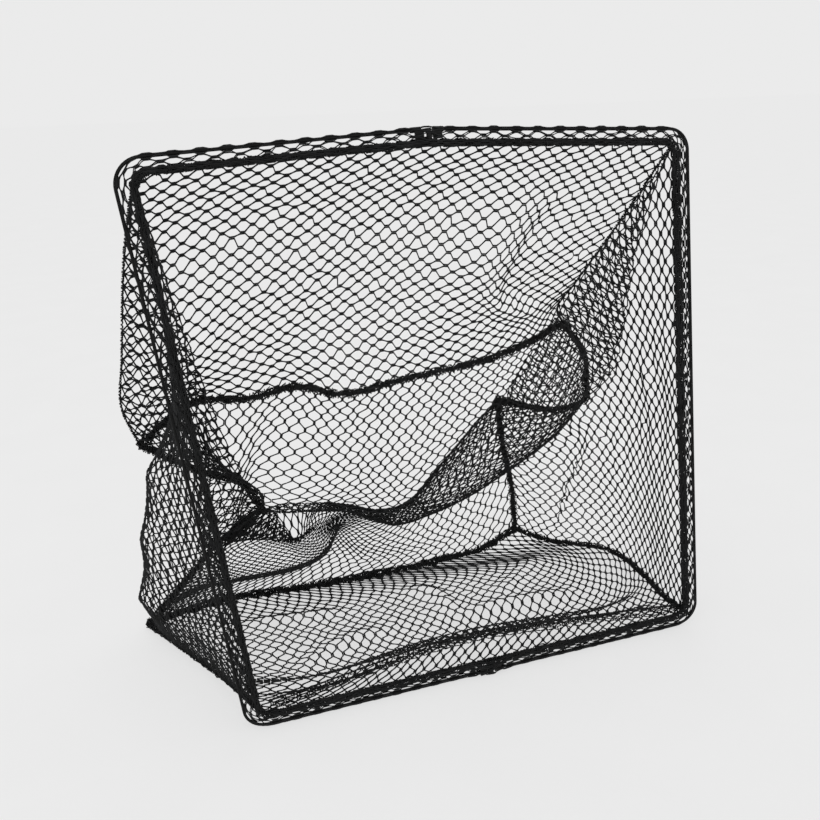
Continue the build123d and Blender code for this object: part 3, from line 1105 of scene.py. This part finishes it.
def painted_material(name, level, rough):
    """Black paint on steel, rubbed a little dull."""

    def build(tree, surface, place):
        colour = ramp(tree, noise(tree, place, 90.0), [(0.35, grey(level)), (0.7, grey(level * 1.9))])
        tree.links.new(colour, surface.inputs["Base Color"])
        surface.inputs["Specular IOR Level"].default_value = 0.15
        dull = ramp(tree, noise(tree, place, 400.0), [(0.3, grey(rough)), (0.7, grey(rough + 0.2))])
        tree.links.new(dull, surface.inputs["Roughness"])
        bump(tree, surface, noise(tree, place, 900.0, 3.0), 0.25, 0.0003)

    return shader(name, build)


# =============================== assembly ===============================

HALVES = ("right", "left")


def on_half(half):
    """A test for the points that lie on one side of the fold plane."""
    if half == "right":
        return lambda points: points[:, 0] >= fold_x(points)
    return lambda points: points[:, 0] < fold_x(points)


def bend_with_bag(piece):
    """Bakes the piece's placement into its mesh. It is not tied to either half of the frame."""
    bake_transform(piece)


def dress_half(half, strands, node, material, keep=None):
    """The part of a net or seam that passes keep, or else lies in one half of the bag. It stands
    for that half's CAD node."""
    piece = make_mesh("soft_" + half + "_" + node, strands, keep or on_half(half), material)
    bend_with_bag(piece)
    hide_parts(half + "_" + node)


def dress_hem(strands, node, material):
    """The hem rides on each half. Where it crosses the fold, near the hinges, it is cut out as separate
    top and bottom pieces that stay in place.
    """
    reach = HEM_FOLD_REACH * MM

    def near_fold(points):
        return np.abs(points[:, 0] - fold_x(points)) < reach

    def upper(points):
        return points[:, 2] > MOUTH_HEIGHT / 2 * MM

    for half in HALVES:
        own = on_half(half)
        name = "soft_" + half + "_" + node
        piece = make_mesh(name, strands, lambda p: own(p) & ~near_fold(p), material)
        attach(piece, half + "_half")
        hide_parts(half + "_" + node)
    ends = {
        "top": (lambda p: near_fold(p) & upper(p), -LEAN),
        "bottom": (lambda p: near_fold(p) & ~upper(p), 0.0),
    }
    for place, (keep, middle) in ends.items():
        piece = make_mesh("soft_" + place + "_fold_" + node, strands, keep, material)
        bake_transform(piece)


def dress_cad(materials):
    """Finishes for the CAD nodes that stay in view."""
    for name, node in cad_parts.items():
        if "wire" in name:
            node.data.materials.clear()
            node.data.materials.append(materials["wire"])
        elif "leaf" in name or "pin" in name:
            node.data.materials.clear()
            node.data.materials.append(materials["hinge"])


def bag_nets():
    """The nets that cross the fold plane."""
    across = int(2 * HALF_WIDTH / LENGTH_PITCH)
    floor = netting(
        floor_panel(), across, FLOOR_HALF_ROWS, 33, shear=FLOOR_SHEAR, radius=FLOOR_THREAD_RADIUS
    )
    crest = netting(
        crest_gather(), across, CREST_HALF_ROWS, 36, radius=CREST_THREAD_RADIUS, jitter=BUNCHED_JITTER
    )
    return {
        "top_net": netting(top_panel(), TOP_CELLS, TOP_HALF_ROWS, 31, across=True),
        "back_net": netting(back_panel(), across, BACK_HALF_ROWS, 32),
        "floor_net": joined([floor, crest]),
    }


def build_bag(materials):
    """The nets and seams behind the mouth. The numbers at the end of each net and seam are seeds."""
    net, seam = materials["net"], materials["seam"]
    nets = bag_nets()
    for half in HALVES:
        for node, strands in nets.items():
            dress_half(half, strands, node, net)
    side_sheets = {"right": (right_side(), 34), "left": (left_side(), 35)}
    for half, (sheet, seed) in side_sheets.items():
        strands = netting(sheet, SIDE_CELLS[half], SIDE_HALF_ROWS[half], seed)
        dress_half(half, strands, "side_net", net, everywhere)
    foot_of_back = floor_panel()[-1] + [0, 0, BACK_FLOOR_LIFT * MM]
    shared = {
        "back_top_seam": gathered_seam(back_panel()[0], BACK_TOP_SEAM, 41),
        "back_floor_seam": gathered_seam(foot_of_back, BACK_FLOOR_SEAM, 42, cords=9),
    }
    for half in HALVES:
        for node, strands in shared.items():
            dress_half(half, strands, node, seam)
    lines = {
        "right": (np.concatenate(right_seam_runs()), floor_right_line(), top_right_line()),
        "left": (np.concatenate(left_seam_runs()), floor_left_line(), top_left_line()),
    }
    for number, (half, (upright, ground, crown)) in enumerate(lines.items()):
        lifted = ground + [0, 0, FLOOR_SIDE_LIFT * MM]
        made = {
            "back_side_seam": gathered_seam(upright, BACK_SIDE_SEAM, 43 + number),
            "floor_side_seam": gathered_seam(lifted, FLOOR_SIDE_SEAM, 45 + number),
            "top_side_seam": gathered_seam(crown, TOP_SIDE_SEAM, 47 + number, cords=3, fuzz=0.1),
        }
        for node, strands in made.items():
            dress_half(half, strands, node, seam, everywhere)


def build_hem(materials):
    """The hem round the wires, and the gathered seam that closes it."""
    halves_round = 2 * int((4 * HALF_WIDTH + 2 * MOUTH_HEIGHT) / HEM_PITCH / 2)
    hem = netting(hem_sheet(), HEM_CELLS, halves_round, 51, across=True, radius=HEM_THREAD_RADIUS)
    dress_hem(hem, "net_hem", materials["net"])
    band = gathered_seam(mouth_loop(HEM_DEPTH, CORNER_RADIUS * HEM_SEAM_CORNER), HEM_SEAM, 52, cords=6)
    gather = netting(
        hem_gather(),
        GATHER_CELLS,
        int(GATHER_CLOSENESS * halves_round),
        53,
        across=True,
        radius=GATHER_THREAD_RADIUS,
        jitter=BUNCHED_JITTER,
    )
    dress_hem(joined([band, gather]), "hem_seam", materials["seam"])


# =============================== studio ===============================



def paper_nodes(tree, surface, place):
    """Pale paper that glows a little, so that it meets the background without an edge."""
    glow = tree.nodes.new("ShaderNodeEmission")
    glow.inputs["Color"].default_value = (*grey(STUDIO_GREY), 1)
    glow.inputs["Strength"].default_value = FLOOR_GLOW
    paper = tree.nodes.new("ShaderNodeBsdfDiffuse")
    stops = list(zip((0.3, 0.7), map(grey, PAPER_GREYS)))
    tree.links.new(ramp(tree, noise(tree, place, 8.0), stops), paper.inputs["Color"])
    both = tree.nodes.new("ShaderNodeAddShader")
    tree.links.new(glow.outputs["Emission"], both.inputs[0])
    tree.links.new(paper.outputs["BSDF"], both.inputs[1])
    output = next(n for n in tree.nodes if n.type == "OUTPUT_MATERIAL")
    tree.links.new(both.outputs["Shader"], output.inputs["Surface"])


def studio():
    """A pale seamless floor, even soft light and one broad lamp from the upper left."""
    world = bpy.data.worlds.new("studio")
    bpy.context.scene.world = world
    world.use_nodes = True
    world.node_tree.nodes["Background"].inputs["Color"].default_value = (*grey(STUDIO_GREY), 1)
    world.node_tree.nodes["Background"].inputs["Strength"].default_value = 1.0
    bpy.ops.mesh.primitive_plane_add(size=FLOOR_SIZE, location=(0, 0, -FLOOR_DROP))
    floor = bpy.context.object
    floor.name = "studio_floor"
    floor.data.materials.append(shader("studio_paper", paper_nodes))
    lamp = bpy.data.lights.new("broad_lamp", "AREA")
    lamp.energy = LAMP_POWER
    lamp.size = LAMP_SIZE
    lamp_object = bpy.data.objects.new("broad_lamp", lamp)
    bpy.context.scene.collection.objects.link(lamp_object)
    lamp_object.location = LAMP_PLACE
    aim = LAMP_TARGET - LAMP_PLACE
    lamp_object.rotation_euler = aim.to_track_quat("-Z", "Y").to_euler()
    bpy.context.scene.view_settings.view_transform = "Standard"


def camera():
    """The camera stands to the left of the mouth, above it, and looks in and down."""
    lens = bpy.data.cameras.new("photo_camera")
    lens.lens = CAMERA_LENS
    lens.sensor_width = SENSOR_WIDTH
    lens.clip_start = 0.01
    view = bpy.data.objects.new("photo_camera", lens)
    bpy.context.scene.collection.objects.link(view)
    level = Vector((math.cos(CAMERA_YAW), -math.sin(CAMERA_YAW), 0))
    ahead = Vector((math.sin(CAMERA_YAW), math.cos(CAMERA_YAW), 0)) * math.cos(CAMERA_PITCH)
    ahead.z = -math.sin(CAMERA_PITCH)
    upright = level.cross(ahead)
    right = level * math.cos(CAMERA_ROLL) + upright * math.sin(CAMERA_ROLL)
    up = upright * math.cos(CAMERA_ROLL) - level * math.sin(CAMERA_ROLL)
    turned = Matrix((right, up, -ahead)).transposed().to_4x4()
    view.matrix_world = Matrix.Translation(Vector(bag(*CAMERA_PLACE))) @ turned
    bpy.context.scene.camera = view


materials = {
    "net": thread_material("net_thread", *NET_SHADES),
    "seam": thread_material("seam_thread", *SEAM_SHADES),
    "wire": painted_material("wire_paint", WIRE_SHADE, rough=0.6),
    "hinge": painted_material("hinge_paint", HINGE_SHADE, rough=0.45),
}
dress_cad(materials)
build_bag(materials)
build_hem(materials)
studio()
camera()
